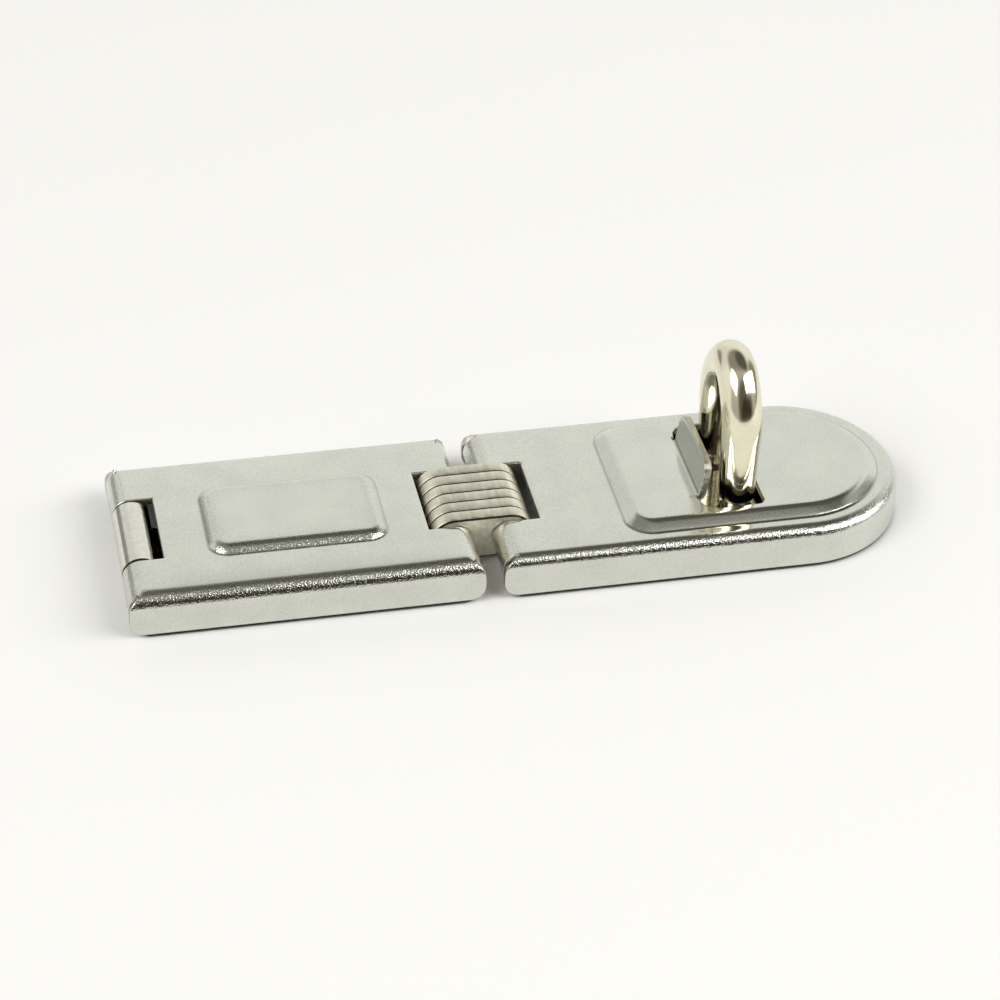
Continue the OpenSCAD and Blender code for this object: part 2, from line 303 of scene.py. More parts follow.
class Section:
    """Half of a leaf's cross-section. Its column runs from 0 at the middle, over the bend, to the foot."""

    def __init__(self, bend, sag_depth):
        self.bend = bend
        self.sag_depth = sag_depth
        self.flat = HALF_WIDTH - bend
        self.arc = bend * math.pi / 2
        self.length = self.flat + self.arc + TOP - bend

    def bend_angle(self, column):
        return min(max((column - self.flat) / self.bend, 0), math.pi / 2)

    def sag(self, column):
        """How far the sheet has started to turn down before the bend proper."""
        before = max(0, min(column, self.flat) - self.flat + SAG_RUN) / SAG_RUN
        return self.sag_depth * before**2 * (1 - self.bend_angle(column) / (math.pi / 2))

    def offset_height(self, column, depth):
        """(distance from the middle plane, height) at a depth below the outside surface."""
        if column <= self.flat:
            return column, TOP - depth
        angle = self.bend_angle(column)
        radius = self.bend - depth
        offset = self.flat + radius * math.sin(angle)
        height = TOP - self.bend + radius * math.cos(angle)
        return offset, height - max(0, column - self.flat - self.arc)

    def columns(self, flat_stretches):
        """Columns from the middle to the foot, with the given stretches over the flat."""
        return chain(
            *flat_stretches,
            (self.flat, self.flat + self.arc, self.arc / BEND_STEPS),
            (self.flat + self.arc, self.length, FLANGE_SPACING),
        )

    def worked(self, column):
        """Most halfway round the bend."""
        angle = self.bend_angle(column)
        if angle <= 0 or column > self.flat + self.arc:
            return FLAT_WORKED
        return FLAT_WORKED + (1 - FLAT_WORKED) * math.sin(2 * angle)


def end_reach(height, pin_x, end_x):
    """How far the flange reaches along X at a height: round at its top corner and at its foot."""
    direction = 1 if end_x > pin_x else -1
    if height >= PIN_Z:
        rise = min(height - PIN_Z, KNUCKLE_R)
        return pin_x + direction * math.sqrt(max(KNUCKLE_R**2 - rise**2, 0))
    if height >= FLANGE_CORNER:
        return end_x
    drop = FLANGE_CORNER - max(height, 0)
    return end_x - direction * (FLANGE_CORNER - math.sqrt(max(FLANGE_CORNER**2 - drop**2, 0)))


# Rows this close to a pin stretch to meet the flange's end
END_ZONE = 3.6


def along_leaf(x, height, column, section, pin_x, end_x):
    """Stretches the last few millimetres of a row so that it ends on the flange's end outline."""
    direction = 1 if end_x > pin_x else -1
    inner_x = pin_x - direction * END_ZONE
    share = (x - inner_x) / (pin_x - inner_x)
    if column <= section.flat or share <= 0:
        return x
    return inner_x + share * (end_reach(height, pin_x, end_x) - inner_x)


def leaf_place(section, surface_at, ends):
    """Makes the place function of a straight leaf: rows run along X, columns across it."""

    def place(x, column):
        side = -1 if column < 0 else 1
        distance = abs(column)
        offset, height = section.offset_height(distance, 0)
        offset_in, height_in = section.offset_height(distance, SHEET)
        px = x
        for pin_x, end_x in ends:
            px = along_leaf(px, height, distance, section, pin_x, end_x)
        rise, rise_in, worked, painted_shade = surface_at(x, side * offset)
        sag = section.sag(distance) * min(1, min(abs(x - pin_x) for pin_x, _ in ends) / SAG_FADE)
        return (
            (px, side * offset, height + rise - sag),
            (px, side * offset_in, height_in + rise_in - sag),
            max(worked, section.worked(distance)),
            painted_shade,
        )

    return place


# How far the sheet rolls round a pin, in what steps, and how far out across the leaf it reaches
CURL_END = math.radians(282)
CURL_STEP = math.radians(7)
CURL_EDGE = HALF_WIDTH - SHEET - 0.25
# The roll's outer edge draws in a little where it leaves the flange, first less and then more
CURL_EASE_FIRST = 0.12
CURL_EASE = 0.2
# How much the roll was worked, at its ends and in addition at its middle
CURL_WORKED = 0.25
CURL_WORKED_MIDDLE = 0.5


def add_curl(sheet, section, pin_x, end_x, window_half, side, columns):
    """One rolled end: the sheet goes on over the pin, mitred to the long bend, then tucks under."""
    direction = 1 if end_x > pin_x else -1
    mitre = [c for c in section.columns([(0, section.flat, section.flat)]) if c >= section.flat]
    mitre = [c for c in mitre if section.offset_height(c, 0)[0] <= CURL_EDGE]
    turns = []
    for column in mitre:
        offset, height = section.offset_height(column, 0)
        turns.append((math.acos(min(1, (height - PIN_Z) / KNUCKLE_R)), offset))
    last_turn, last_offset = turns[-1]
    count = round((CURL_END - last_turn) / CURL_STEP)
    for i in range(1, count + 1):
        turn = last_turn + (CURL_END - last_turn) * i / count
        ease = CURL_EASE_FIRST if i == 1 else CURL_EASE
        turns.append((turn, last_offset - ease))

    rows = list(range(len(turns)))
    shares = [c for c in columns if window_half - TOLERANCE <= c <= section.flat + TOLERANCE]

    def place(row, column):
        turn, edge = turns[row]
        span = section.flat - window_half
        y = window_half + (column - window_half) * (edge - window_half) / span
        if row == 0:
            y = column
        outer = (pin_x + direction * KNUCKLE_R * math.sin(turn), PIN_Z + KNUCKLE_R * math.cos(turn))
        inner = (pin_x + direction * BORE_R * math.sin(turn), PIN_Z + BORE_R * math.cos(turn))
        return (
            (outer[0], side * y, outer[1]),
            (inner[0], side * y, inner[1]),
            CURL_WORKED + CURL_WORKED_MIDDLE * math.sin(min(turn, math.pi)),
        )

    sheet.patch(rows, shares, place)


# The notch for the base plate's knuckle, and the windows for the links in both leaves
NOTCH_HALF = 9.7
NOTCH_DEPTH = 8.1
WINDOW_HALF = 9.3
COVER_WINDOW_X = COVER_PIN_X - LINK_R - 0.4
HASP_WINDOW_X = HASP_PIN_X + LINK_R + 1


# ---------- cover leaf ----------

COVER_SAG = 0.05
COVER_PANEL_START = COVER_START + 16.7
COVER_PANEL_END = COVER_PANEL_START + 34.8
COVER_PANEL_HALF = 11
COVER_PANEL_CORNER = 4.0
COVER_EDGE = PressedEdge(COVER_RISE, [(0, 50), (0.5, 44), (1.1, 36), (2.4, 0)], work=(0.55, 0.8, 4))


def cover_surface(x, y):
    return COVER_EDGE.at(
        inside_rounded_box(
            x, y, COVER_PANEL_START, COVER_PANEL_END, COVER_PANEL_HALF, COVER_PANEL_CORNER
        )
    )


def cover_leaf():
    section = Section(COVER_BEND, COVER_SAG)
    notch_x = COVER_START + NOTCH_DEPTH
    # Fine rows and columns run from just outside the panel's foot to just inside its corners
    fine_out, fine_in = 0.8, 4.6
    rows = chain(
        (BASE_PIN_X, BASE_PIN_X + END_ZONE, 0.4),
        (BASE_PIN_X + END_ZONE, notch_x, 0.45),
        (notch_x, COVER_PANEL_START - fine_out, 1.2),
        (COVER_PANEL_START - fine_out, COVER_PANEL_START + fine_in, 0.22),
        (COVER_PANEL_START + fine_in, COVER_PANEL_END - fine_in, 1.5),
        (COVER_PANEL_END - fine_in, COVER_PANEL_END + fine_out, 0.22),
        (COVER_PANEL_END + fine_out, COVER_WINDOW_X, 1.2),
        (COVER_WINDOW_X, COVER_PIN_X - END_ZONE, 0.45),
        (COVER_PIN_X - END_ZONE, COVER_PIN_X, 0.4),
    )
    half = section.columns([
        (0, COVER_PANEL_HALF - fine_in, 1.3),
        (COVER_PANEL_HALF - fine_in, WINDOW_HALF, 0.24),
        (WINDOW_HALF, NOTCH_HALF, 0.3),
        (NOTCH_HALF, COVER_PANEL_HALF + fine_out, 0.21),
        (COVER_PANEL_HALF + fine_out, section.flat, 0.9),
    ])
    columns = sorted({-c for c in half} | set(half))
    ends = [(BASE_PIN_X, COVER_START), (COVER_PIN_X, COVER_END)]

    def keep(x, column):
        if abs(column) < NOTCH_HALF and x < notch_x:
            return False
        return not (abs(column) < WINDOW_HALF and x > COVER_WINDOW_X)

    sheet = PressedSheet()
    sheet.patch(rows, columns, leaf_place(section, cover_surface, ends), keep)
    for side in (-1, 1):
        add_curl(sheet, section, BASE_PIN_X, COVER_START, NOTCH_HALF, side, half)
        add_curl(sheet, section, COVER_PIN_X, COVER_END, WINDOW_HALF, side, half)
    return sheet.build("cover_leaf_pressed")


# ---------- hasp leaf ----------

HASP_SAG = 0.01
HASP_RISE = 1.6
HASP_PANEL_START = COVER_START + 96.7
HASP_PANEL_HALF = HALF_WIDTH - 4
HASP_PANEL_CORNER = 5.5
HASP_EDGE = PressedEdge(
    HASP_RISE, [(0, 52), (0.3, 41), (0.5, 38), (1.8, 36), (2.9, 0)], work=(0.12, 1, 7)
)
END_ANGLE_STEP = math.pi / 80

SLOT_START = COVER_START + 112.5
SLOT_END = SLOT_START + 12.3
SLOT_HALF = 14
SLOT_LEFT_CORNER = 3
SLOT_RIGHT_CORNER = 1.5
SLOT_LEFT_STEPS = 9
SLOT_RIGHT_STEPS = 6
# Width of the band of clean quads round the slot
SLOT_BAND = 0.45

# The tab turned up beside the slot, and the two notches that relieve its foot
FLAP_HALF = 9.6
FLAP_BEND = 0.5
FLAP_LEAN = math.radians(9)
FLAP_HEIGHT = 6.9
FLAP_CORNER = 2.4
FLAP_FOOT_X = SLOT_START - FLAP_BEND
FLAP_BEND_STEPS = 6
FLAP_WALL_STEPS = 8
FLAP_WORKED = 0.35
# How much the whole tab is painted darker, as shade
FLAP_SHADE = 0.45
RELIEF_HALF = FLAP_HALF + 0.9


def hasp_surface(x, y):
    if x > END_X:
        return HASP_EDGE.at(HASP_PANEL_HALF - math.hypot(x - END_X, y))
    # The box runs on past the round end, so that only its left corners are rounded here
    beyond_end = END_X + 30
    return HASP_EDGE.at(
        inside_rounded_box(x, y, HASP_PANEL_START, beyond_end, HASP_PANEL_HALF, HASP_PANEL_CORNER)
    )


def flap_columns():
    """Places across the tab, closer together round its upper corners."""
    corner_start = FLAP_HALF - FLAP_CORNER
    corner_angles = [math.radians(a) for a in (0, 12, 24, 36, 48, 60, 90)]
    half = steps(0, corner_start, 1.35)[:-1]
    half += [corner_start + FLAP_CORNER * math.sin(a) for a in corner_angles]
    return sorted({round(-c, 6) for c in half} | {round(c, 6) for c in half})


def slot_outline(grow, foot_columns):
    """The slot's edge, anticlockwise, grown outwards. The tab's foot lies on its left edge."""
    left_r, right_r = SLOT_LEFT_CORNER + grow, SLOT_RIGHT_CORNER + grow
    x_left, x_right, y_edge = SLOT_START - grow, SLOT_END + grow, SLOT_HALF + grow
    points = arc_points(x_right - right_r, -y_edge + right_r, right_r, -90, 0, SLOT_RIGHT_STEPS)
    points += arc_points(x_right - right_r, y_edge - right_r, right_r, 0, 90, SLOT_RIGHT_STEPS)
    points += arc_points(x_left + left_r, y_edge - left_r, left_r, 90, 180, SLOT_LEFT_STEPS)
    relief = RELIEF_HALF + grow
    foot_x = FLAP_FOOT_X - grow
    points += [(x_left, relief), (foot_x, relief)]
    scale = 1 + grow / FLAP_HALF * 0.5
    points += [(foot_x, y * scale) for y in reversed(foot_columns)]
    points += [(foot_x, -relief), (x_left, -relief)]
    points += arc_points(x_left + left_r, -y_edge + left_r, left_r, 180, 270, SLOT_LEFT_STEPS)
    return points


def add_flap(sheet, columns):
    """The tab turned up from the slot's left edge, with rounded upper corners."""
    turn = math.pi / 2 - FLAP_LEAN
    wall = steps(0, FLAP_HEIGHT, FLAP_HEIGHT / FLAP_WALL_STEPS)[1:]
    rows = [("bend", angle) for angle in steps(-turn, 0, turn / FLAP_BEND_STEPS)]
    rows += [("wall", height) for height in wall]
    centre_z = TOP + HASP_RISE + FLAP_BEND
    tip_reach = (FLAP_HEIGHT - FLAP_BEND + FLAP_BEND * math.sin(FLAP_LEAN)) / math.cos(FLAP_LEAN)

    def place(index, y):
        kind, value = rows[round(index)]
        beyond = max(0, abs(y) - (FLAP_HALF - FLAP_CORNER))
        drop = FLAP_CORNER - math.sqrt(max(FLAP_CORNER**2 - beyond**2, 0))
        angle = value - FLAP_LEAN if kind == "bend" else -FLAP_LEAN
        reach = 0 if kind == "bend" else value / FLAP_HEIGHT * (tip_reach - drop)

        def at(radius):
            x = FLAP_FOOT_X + radius * math.cos(angle) + reach * math.sin(FLAP_LEAN)
            z = centre_z + radius * math.sin(angle) + reach * math.cos(FLAP_LEAN)
            return (x, y, z)

        return at(FLAP_BEND), at(FLAP_BEND + SHEET), FLAP_WORKED, FLAP_SHADE

    sheet.patch(list(range(len(rows))), columns, place)


def rectangle_border(rows, columns):
    """The border of a grid of places, anticlockwise from its first row and column."""
    border = [(x, columns[0]) for x in rows]
    border += [(rows[-1], c) for c in columns[1:]]
    border += [(x, columns[-1]) for x in reversed(rows[:-1])]
    border += [(rows[0], c) for c in reversed(columns[1:-1])]
    return border


def round_end_place(section):
    """Makes the place function of the half-round end: rows are angles, columns as on a straight leaf."""

    def place(angle, column):
        offset, height = section.offset_height(column, 0)
        offset_in, height_in = section.offset_height(column, SHEET)
        across, along = math.sin(angle), math.cos(angle)
        # Never quite at END_X, so that both ends of the arc use the round part of the panel
        surface_x = END_X + offset * max(along, 0) + 1e-9
        rise, rise_in, worked, painted_shade = hasp_surface(surface_x, offset * across)
        sag = section.sag(column)
        return (
            (END_X + offset * along, offset * across, height + rise - sag),
            (END_X + offset_in * along, offset_in * across, height_in + rise_in - sag),
            max(worked, section.worked(column)),
            painted_shade,
        )

    return place


def hasp_leaf():
    section = Section(HASP_BEND, HASP_SAG)
    # The rectangle that is left out of the grid and filled round the slot
    hole_start, hole_end = SLOT_START - 3, SLOT_END + 2.5
    hole_half = SLOT_HALF + 1.1
    # Fine rows run from just outside the panel's foot to just inside its corners, and fine columns
    # from inside those corners out to the bend
    fine_start, fine_end = HASP_PANEL_START - 0.9, HASP_PANEL_START + 6.2
    fine_column = 11.6
    rows = chain(
        (HASP_PIN_X, HASP_PIN_X + END_ZONE, 0.4),
        (HASP_PIN_X + END_ZONE, HASP_WINDOW_X, 0.45),
        (HASP_WINDOW_X, fine_start, 1.2),
        (fine_start, fine_end, 0.25),
        (fine_end, hole_start, 1.5),
        (hole_start, hole_end, 2.2),
        (hole_end, END_X, 2),
    )
    half = section.columns([
        (0, WINDOW_HALF, 1.4),
        (WINDOW_HALF, fine_column, 0.8),
        (fine_column, hole_half, 0.3),
        (hole_half, section.flat, 0.26),
    ])
    columns = sorted({-c for c in half} | set(half))

    def keep(x, column):
        if abs(column) < WINDOW_HALF and x < HASP_WINDOW_X:
            return False
        return not (hole_start < x < hole_end and abs(column) < hole_half)

    place = leaf_place(section, hasp_surface, [(HASP_PIN_X, HASP_START)])
    sheet = PressedSheet()
    sheet.patch(rows, columns, place, keep)

    hole_rows = [x for x in rows if hole_start - TOLERANCE <= x <= hole_end + TOLERANCE]
    hole_columns = [c for c in columns if abs(c) <= hole_half + TOLERANCE]
    foot_columns = flap_columns()
    sheet.flat_with_hole(
        rectangle_border(hole_rows, hole_columns),
        slot_outline(SLOT_BAND, foot_columns),
        slot_outline(0, foot_columns),
        place,
    )
    add_flap(sheet, foot_columns)

    sheet.patch(steps(-math.pi / 2, math.pi / 2, END_ANGLE_STEP), half, round_end_place(section))
    for side in (-1, 1):
        add_curl(sheet, section, HASP_PIN_X, HASP_START, WINDOW_HALF, side, half)
    return sheet.build("hasp_leaf_pressed")


# ---------- staple ----------

STAPLE_X = middle("staple", X)
ARCH_BAR_R = (high("staple", X) - low("staple", X)) / 2
LEG_Y = high("staple", Y) - ARCH_BAR_R
# The arch has two wide side arcs, each centred past the middle, and a tighter crown.
# Where they meet, the three centres make a 3-4-5 triangle.
SIDE_OFFSET = 3.9
SIDE_R = LEG_Y + SIDE_OFFSET
SIDE_TURN = math.atan2(4, 3)
CROWN_R = SIDE_R - SIDE_OFFSET * 5 / 3
CROWN_Z = SIDE_OFFSET * 4 / 3
ARCH_Z = high("staple", Z) - ARCH_BAR_R - CROWN_R - CROWN_Z
ARCH_STEP = math.radians(3.5)
PAD_TOP = high("staple_plate", Z)
RIVET_FOOT = low("staple", Z)
LEG_R = 3.55
NECK_R = 2.6
RIVET_R = 3.8
# (height over the rivet's foot, how far its edge draws in there)
RIVET_EDGE = [(0.0, 0.9), (0.25, 0.35), (0.7, 0.0)]
SHOULDER_Z = 8.2
SHOULDER_STEPS = 8
# The shoulder's rounding is a little lower than it is wide
SHOULDER_SQUASH = 0.8
BAR_SIDES = 64


def leg_profile():
    """(height, radius) up one leg: riveted end, neck, rounded shoulder, then a slow swell to the arch."""
    rivet_top = RIVET_FOOT + SHEET
    profile = [(RIVET_FOOT, 0.0)]
    profile += [(RIVET_FOOT + rise, RIVET_R - inset) for rise, inset in RIVET_EDGE]
    profile += [(rivet_top, RIVET_R), (rivet_top + 0.02, NECK_R)]
    profile += [(PAD_TOP + 0.05, NECK_R), (SHOULDER_Z - 0.5, NECK_R)]
    round_r = LEG_R - NECK_R
    for angle in steps(0, math.pi / 2, math.pi / 2 / SHOULDER_STEPS):
        height = SHOULDER_Z + round_r * SHOULDER_SQUASH * (1 - math.cos(angle))
        profile.append((height, NECK_R + round_r * math.sin(angle)))
    start = profile[-1][0] + 0.4
    for height in steps(start, ARCH_Z, 1.0):
        share = (height - start) / (ARCH_Z - start)
        profile.append((height, LEG_R + (ARCH_BAR_R - LEG_R) * share))
    return profile


def arch_place(turn):
    """(centre of the bar, outward direction) once the arch has turned this far from the front leg."""
    outward = Vector((0, -math.cos(turn), math.sin(turn)))
    if turn < SIDE_TURN:
        middle_of_arc, radius = Vector((STAPLE_X, SIDE_OFFSET, ARCH_Z)), SIDE_R
    elif turn > math.pi - SIDE_TURN:
        middle_of_arc, radius = Vector((STAPLE_X, -SIDE_OFFSET, ARCH_Z)), SIDE_R
    else:
        middle_of_arc, radius = Vector((STAPLE_X, 0, ARCH_Z + CROWN_Z)), CROWN_R
    return middle_of_arc + outward * radius, outward


def staple():
    """A round bar swept up one leg, over the arch and down the other."""
    path = []
    for height, radius in leg_profile():
        path.append((Vector((STAPLE_X, -LEG_Y, height)), Vector((0, -1, 0)), radius))
    for turn in steps(0, math.pi, ARCH_STEP)[1:-1]:
        path.append((*arch_place(turn), ARCH_BAR_R))
    for height, radius in reversed(leg_profile()):
        path.append((Vector((STAPLE_X, LEG_Y, height)), Vector((0, 1, 0)), radius))
    mesh = bmesh.new()
    side = Vector((1, 0, 0))
    rings = []
    for centre, outward, radius in path:
        ring = []
        for k in range(BAR_SIDES):
            angle = 2 * math.pi * k / BAR_SIDES
            place = centre + radius * (math.cos(angle) * outward + math.sin(angle) * side)
            ring.append(mesh.verts.new(place * MM))
        rings.append(ring)
    for first, second in zip(rings, rings[1:]):
        for k in range(BAR_SIDES):
            j = (k + 1) % BAR_SIDES
            mesh.faces.new([first[k], first[j], second[j], second[k]])
    bmesh.ops.remove_doubles(mesh, verts=mesh.verts, dist=1e-7)
    bmesh.ops.dissolve_degenerate(mesh, edges=mesh.edges, dist=1e-8)
    bmesh.ops.recalc_face_normals(mesh, faces=mesh.faces)
    return finish_mesh("staple_bar", mesh)


# ---------- links ----------

# (place across the link from -1 to 1, how far the edge draws in there)
LINK_DIE_ROLL = [(-1.0, 0.5), (-0.95, 0.26), (-0.84, 0.09), (-0.62, 0.0), (0.88, 0.02), (1.0, 0.16)]
# The strips of that edge that lie in the seam between two links, painted near-black as shade
LINK_SHADED_STRIPS = (0, 1, 4)
LINK_COUNT = 6
LINK_END_STEPS = 24
LINK_SHARP_DEGREES = 38
BORE_SIDES = 32


def link_plate(node):
    """One stamped link: rounded on the punch side, crisp on the other."""
    half = (high(node, Y) - low(node, Y)) / 2
    centre_y = middle(node, Y)
    mesh = bmesh.new()
    seam = mesh.faces.layers.float.new("seam")

    def outline(inset):
        radius = LINK_R - inset
        points = arc_points(HASP_PIN_X, PIN_Z, radius, -90, 90, LINK_END_STEPS)
        return points + arc_points(COVER_PIN_X, PIN_Z, radius, 90, 270, LINK_END_STEPS)

    def bore(pin_x):
        last = 360 - 360 / BORE_SIDES
        return list(reversed(arc_points(pin_x, PIN_Z, BORE_R, 0, last, BORE_SIDES - 1)))

    def ring_at(share, points):
        """New vertices at a place across the link from -1 to 1."""
        y = centre_y + share * half
        return [mesh.verts.new((x * MM, y * MM, z * MM)) for x, z in points]

    rings = [ring_at(share, outline(inset)) for share, inset in LINK_DIE_ROLL]
    for number, (first, second) in enumerate(zip(rings, rings[1:])):
        for k in range(len(first)):
            j = (k + 1) % len(first)
            face = mesh.faces.new([first[k], first[j], second[j], second[k]])
            face[seam] = 1.0 if number in LINK_SHADED_STRIPS else 0.0
    bores = []
    for pin_x in (COVER_PIN_X, HASP_PIN_X):
        pair = [ring_at(share, bore(pin_x)) for share in (-1, 1)]
        bores.append(pair)
        for k in range(len(pair[0])):
            j = (k + 1) % len(pair[0])
            mesh.faces.new([pair[0][k], pair[0][j], pair[1][j], pair[1][k]])
    for end, ring in ((0, rings[0]), (1, rings[-1])):
        loops = [ring, bores[0][end], bores[1][end]]
        flat = [[Vector((v.co.x, v.co.z, 0)) for v in loop] for loop in loops]
        verts = [v for loop in loops for v in loop]
        for triangle in tessellate_polygon(flat):
            mesh.faces.new([verts[i] for i in triangle])
    bmesh.ops.recalc_face_normals(mesh, faces=mesh.faces)
    return finish_mesh(node + "_stamped", mesh, LINK_SHARP_DEGREES)


# ---------- materials ----------

# The Mix node's sockets when it blends colours
MIX_SHARE, MIX_A, MIX_B = 0, 6, 7
MIX_RESULT = 2


class Nodes:
    """A short way to wire shader nodes in one tree."""

    def __init__(self, tree):
        self.tree = tree
        self.coordinates = self.add("ShaderNodeTexCoord").outputs

    def plug(self, socket, value):
        """Links an output to a socket, or sets the socket's own value."""
        if hasattr(value, "is_output"):
            self.tree.links.new(value, socket)
        else:
            socket.default_value = value

    def add(self, kind, settings=None, **inputs):
        node = self.tree.nodes.new(kind)
        for key, value in (settings or {}).items():
            setattr(node, key, value)
        for key, value in inputs.items():
            self.plug(node.inputs[key.replace("_", " ")], value)
        return node

    def ramp(self, value, low_in, high_in, low_out=0, high_out=1, curve="SMOOTHSTEP"):
        """Carries one range of values over to another, and holds its ends beyond it."""
        node = self.add(
            "ShaderNodeMapRange",
            {"interpolation_type": curve},
            Value=value,
            From_Min=low_in,
            From_Max=high_in,
            To_Min=low_out,
            To_Max=high_out,
        )
        return node.outputs["Result"]

    def math(self, operation, a, b):
        node = self.add("ShaderNodeMath", {"operation": operation})
        self.plug(node.inputs[0], a)
        self.plug(node.inputs[1], b)
        return node.outputs[0]

    def mix(self, share, a, b):
        """Blends two colours."""
        node = self.add("ShaderNodeMix", {"data_type": "RGBA"})
        for socket, value in ((MIX_SHARE, share), (MIX_A, a), (MIX_B, b)):
            self.plug(node.inputs[socket], value)
        return node.outputs[MIX_RESULT]


class Surface(Nodes):
    """The nodes of one new material. The scale of a noise is in cells per metre."""

    def __init__(self, name):
        self.material = bpy.data.materials.new(name)
        self.material.use_nodes = True
        super().__init__(self.material.node_tree)
        self.shader = self.tree.nodes["Principled BSDF"]
        self.object = self.coordinates["Object"]

    def put(self, key, value):
        self.plug(self.shader.inputs[key], value)

    def metal(self, tone, roughness):
        self.put("Base Color", tone)
        self.put("Metallic", 1.0)
        self.put("Roughness", roughness)

    def attribute(self, name):
        return self.add("ShaderNodeAttribute", {"attribute_name": name}).outputs["Fac"]

    def noise(self, scale, detail=3.0, roughness=0.5, stretch=(1, 1, 1)):
        mapping = self.add("ShaderNodeMapping", Vector=self.object, Scale=stretch)
        node = self.add(
            "ShaderNodeTexNoise", Vector=mapping.outputs[0], Scale=scale, Detail=detail, Roughness=roughness
        )
        return node.outputs["Fac"]

    def bump(self, height, strength, distance, previous=None):
        """Bump of a depth in millimetres, on top of a previous one if there is one."""
        node = self.add("ShaderNodeBump", Height=height, Strength=strength, Distance=distance * MM)
        if previous is not None:
            self.plug(node.inputs["Normal"], previous)
        return node.outputs[0]


def zinc_leaf_material():
    """Zinc-plated sheet: satin flats, orange peel where it was worked, painted shade in the creases and on
    the tab, a painted contact shadow along the flanges' foot, and rough cut edges.
    """
    n = Surface("zinc_leaf")
    worked = n.attribute("worked")
    sheared = n.attribute("sheared")

    # Plating, clouded by its own grain
    grain = n.math("MULTIPLY", n.noise(3600, 2, 0.6), 0.7)
    clouds = n.math("MULTIPLY", n.noise(140, 3), 0.3)
    cloudy = n.ramp(n.math("ADD", grain, clouds), 0.38, 0.60)
    plating = n.mix(cloudy, (0.605, 0.62, 0.56, 1), (0.69, 0.705, 0.64, 1))

    # Dark pits, most of all where the sheet was worked, and painted shade along the panels' creases and
    # over the turned-up tab
    pit_spots = n.ramp(n.noise(3000, 1), 0.64, 0.72, 0, 0.4)
    pits = n.math("MULTIPLY", pit_spots, n.ramp(worked, 0.12, 0.4, 0.35, 1))
    shade_share = n.math("MULTIPLY", n.attribute("painted_shade"), 0.75)
    pitted_and_shaded = n.mix(n.math("MAXIMUM", pits, shade_share), plating, (0.16, 0.15, 0.12, 1))

    # Torn metal on the cut edges, and a painted contact shadow, near black, where the flanges stand on the
    # ground
    torn = n.noise(1400, 3, 0.6)
    cut = n.mix(torn, (0.34, 0.32, 0.27, 1), (0.72, 0.70, 0.62, 1))
    height = n.add("ShaderNodeSeparateXYZ", Vector=n.object).outputs["Z"]
    foot = n.ramp(height, 0.35 * MM, 0.55 * MM, 1, 0)
    tone = n.mix(foot, n.mix(sheared, pitted_and_shaded, cut), (0.015, 0.013, 0.01, 1))

    plating_roughness = n.ramp(n.noise(900, 3), 0.3, 0.7, 0.10, 0.13)
    n.metal(tone, n.math("ADD", plating_roughness, n.math("MULTIPLY", sheared, 0.22)))
    peel = n.bump(n.noise(2700, 2, 0.6), n.ramp(worked, 0.1, 0.9, 0.07, 0.9), 0.1)
    n.put("Normal", n.bump(torn, n.math("MULTIPLY", sheared, 0.9), 0.25, peel))
    return n.material


def link_material():
    """Stamped links: dull, warm grey edges with fine shear lines across them, and painted shade in the
    seams between links.
    """
    n = Surface("link_steel")
    shear = n.noise(900, 4, 0.6, (1, 0.12, 1))
    tone = n.mix(n.ramp(shear, 0.3, 0.7), (0.77, 0.735, 0.61, 1), (0.96, 0.925, 0.79, 1))
    # The seam strips are painted near-black: painted shade between the links
    seamed = n.mix(n.attribute("seam"), tone, (0.05, 0.04, 0.03, 1))
    n.metal(seamed, n.ramp(n.noise(700, 3), 0.3, 0.7, 0.34, 0.5))
    n.put("Normal", n.bump(shear, 0.35, 0.05))
    return n.material


def plate_material(name, dark, bright):
    """A fixing plate: plated sheet, almost a mirror."""
    n = Surface(name)
    tone = n.mix(n.ramp(n.noise(900, 4), 0.35, 0.65), dark, bright)
    n.metal(tone, n.ramp(n.noise(700, 3), 0.3, 0.7, 0.06, 0.11))
    n.put("Normal", n.bump(n.noise(1500, 2), 0.06, 0.04))
    return n.material


def pin_material():
    """Plain steel with fine lines from drawing along the pin."""
    n = Surface("pin_steel")
    drawn = n.noise(1500, 2, 0.5, (1, 0.03, 1))
    tone = n.mix(drawn, (0.40, 0.40, 0.39, 1), (0.55, 0.55, 0.53, 1))
    n.metal(tone, n.ramp(drawn, 0.3, 0.7, 0.25, 0.4))
    return n.material


def staple_material():
    """Polished nickel over forged bar: warm and bright, slightly wavy."""
    n = Surface("nickel_staple")
    tone = n.mix(n.ramp(n.noise(160, 3), 0.35, 0.7), (0.77, 0.72, 0.555, 1), (0.82, 0.78, 0.62, 1))
    n.metal(tone, n.ramp(n.noise(500, 3), 0.3, 0.7, 0.09, 0.15))
    wavy = n.bump(n.noise(330, 2), 0.22, 0.12)
    n.put("Normal", n.bump(n.noise(2200, 2), 0.1, 0.03, wavy))
    return n.material


def floor_material():
    """White paper."""
    n = Surface("floor_paper")
    n.put("Base Color", n.mix(n.noise(6, 2), (0.95, 0.947, 0.93, 1), (0.96, 0.957, 0.94, 1)))
    n.put("Roughness", 0.7)
    return n.material


# ---------- pieces ----------

materials = {
    "zinc_leaf": zinc_leaf_material(),
    "link_steel": link_material(),
    "plated_plate": plate_material("plated_plate", (0.66, 0.66, 0.585, 1), (0.72, 0.72, 0.645, 1)),
    "pin_steel": pin_material(),
    "nickel_staple": staple_material(),
}


def use_piece(obj, body, node, slot):
    """Puts a finer piece in the place of a CAD node."""
    obj.data.materials.append(materials[slot])
    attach(obj, body)
    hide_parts(node)


EDGE_STEPS = 3
EDGE_ANGLE = math.radians(35)


